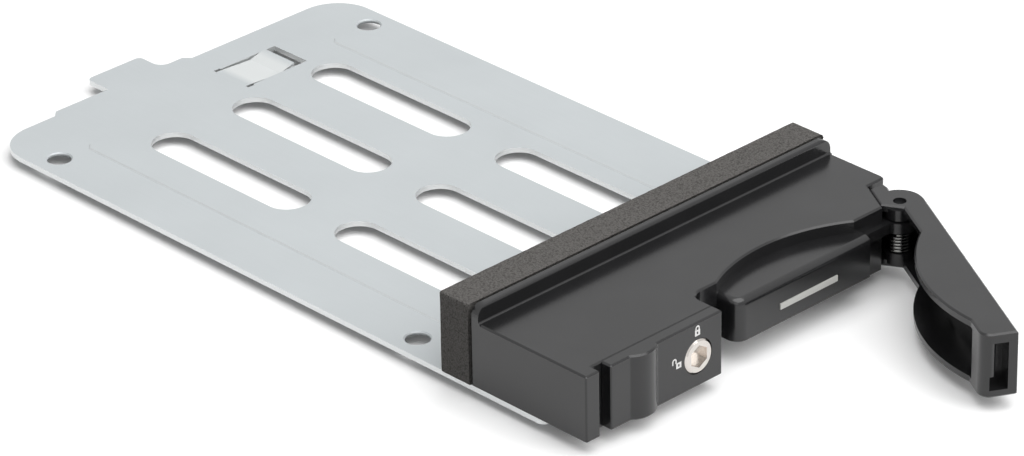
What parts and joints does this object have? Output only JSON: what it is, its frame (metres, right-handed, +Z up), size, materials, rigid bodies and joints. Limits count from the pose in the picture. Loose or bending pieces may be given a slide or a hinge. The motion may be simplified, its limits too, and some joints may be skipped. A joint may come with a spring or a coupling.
{
  "type": "removable drive tray of a hard drive mobile rack",
  "caption": "Flat steel carrier tray for a 2.5 inch drive with a plastic front bezel, foam gasket, sliding latch with lock, and a swing-out eject lever.",
  "frame": {"origin": "centre of the four drive screw holes, on the tray plate's upper face", "axes": "+X to the right seen from the front, +Y to the rear along the tray, +Z up out of the plate"},
  "size_m": [0.07, 0.1625, 0.0133],
  "materials": {
    "sheet_steel": "matt zinc grey",
    "bezel_plastic": "fine satin moulding",
    "lever_plastic": "fine satin moulding",
    "foam": "open cell foam",
    "light_plastic": "milky light guide",
    "lock_metal": "bright nickel",
    "fastener_steel": "zinc plated",
    "spring_steel": "drawn wire"
  },
  "bodies": {
    "tray": {"tray_plate": "sheet_steel", "plate_screws": "fastener_steel", "foam_gasket": "foam", "bezel": "bezel_plastic", "light_pipe": "light_plastic", "latch_spring": "spring_steel"},
    "lever": {"lever": "lever_plastic", "hinge_pin": "fastener_steel", "torsion_spring": "spring_steel"},
    "slider": {"latch_slider": "bezel_plastic"},
    "lock": {"lock_cylinder": "lock_metal", "lock_cam": "fastener_steel", "cam_screw": "fastener_steel"}
  },
  "joints": [
    {"name": "lever_swing", "type": "hinge", "parent": "tray", "child": "lever", "pos_m": [0.03105, -0.07105, 0.005], "axis": [0, 0, 1], "range_deg": [-60.5, 0], "stiffness_Nm_per_rad": 0.006, "springref_deg": 28.65, "deforming": ["torsion_spring"]},
    {"name": "latch_slide", "type": "slide", "parent": "tray", "child": "slider", "axis": [-1, 0, 0], "range_m": [0, 0.0017], "stiffness_N_per_m": 300, "springref_m": -0.001, "deforming": ["latch_spring"]},
    {"name": "lock_turn", "type": "hinge", "parent": "slider", "child": "lock", "pos_m": [-0.0136, -0.0722, 0.00472], "axis": [0, 1, 0], "range_deg": [0, 90]}
  ]
}
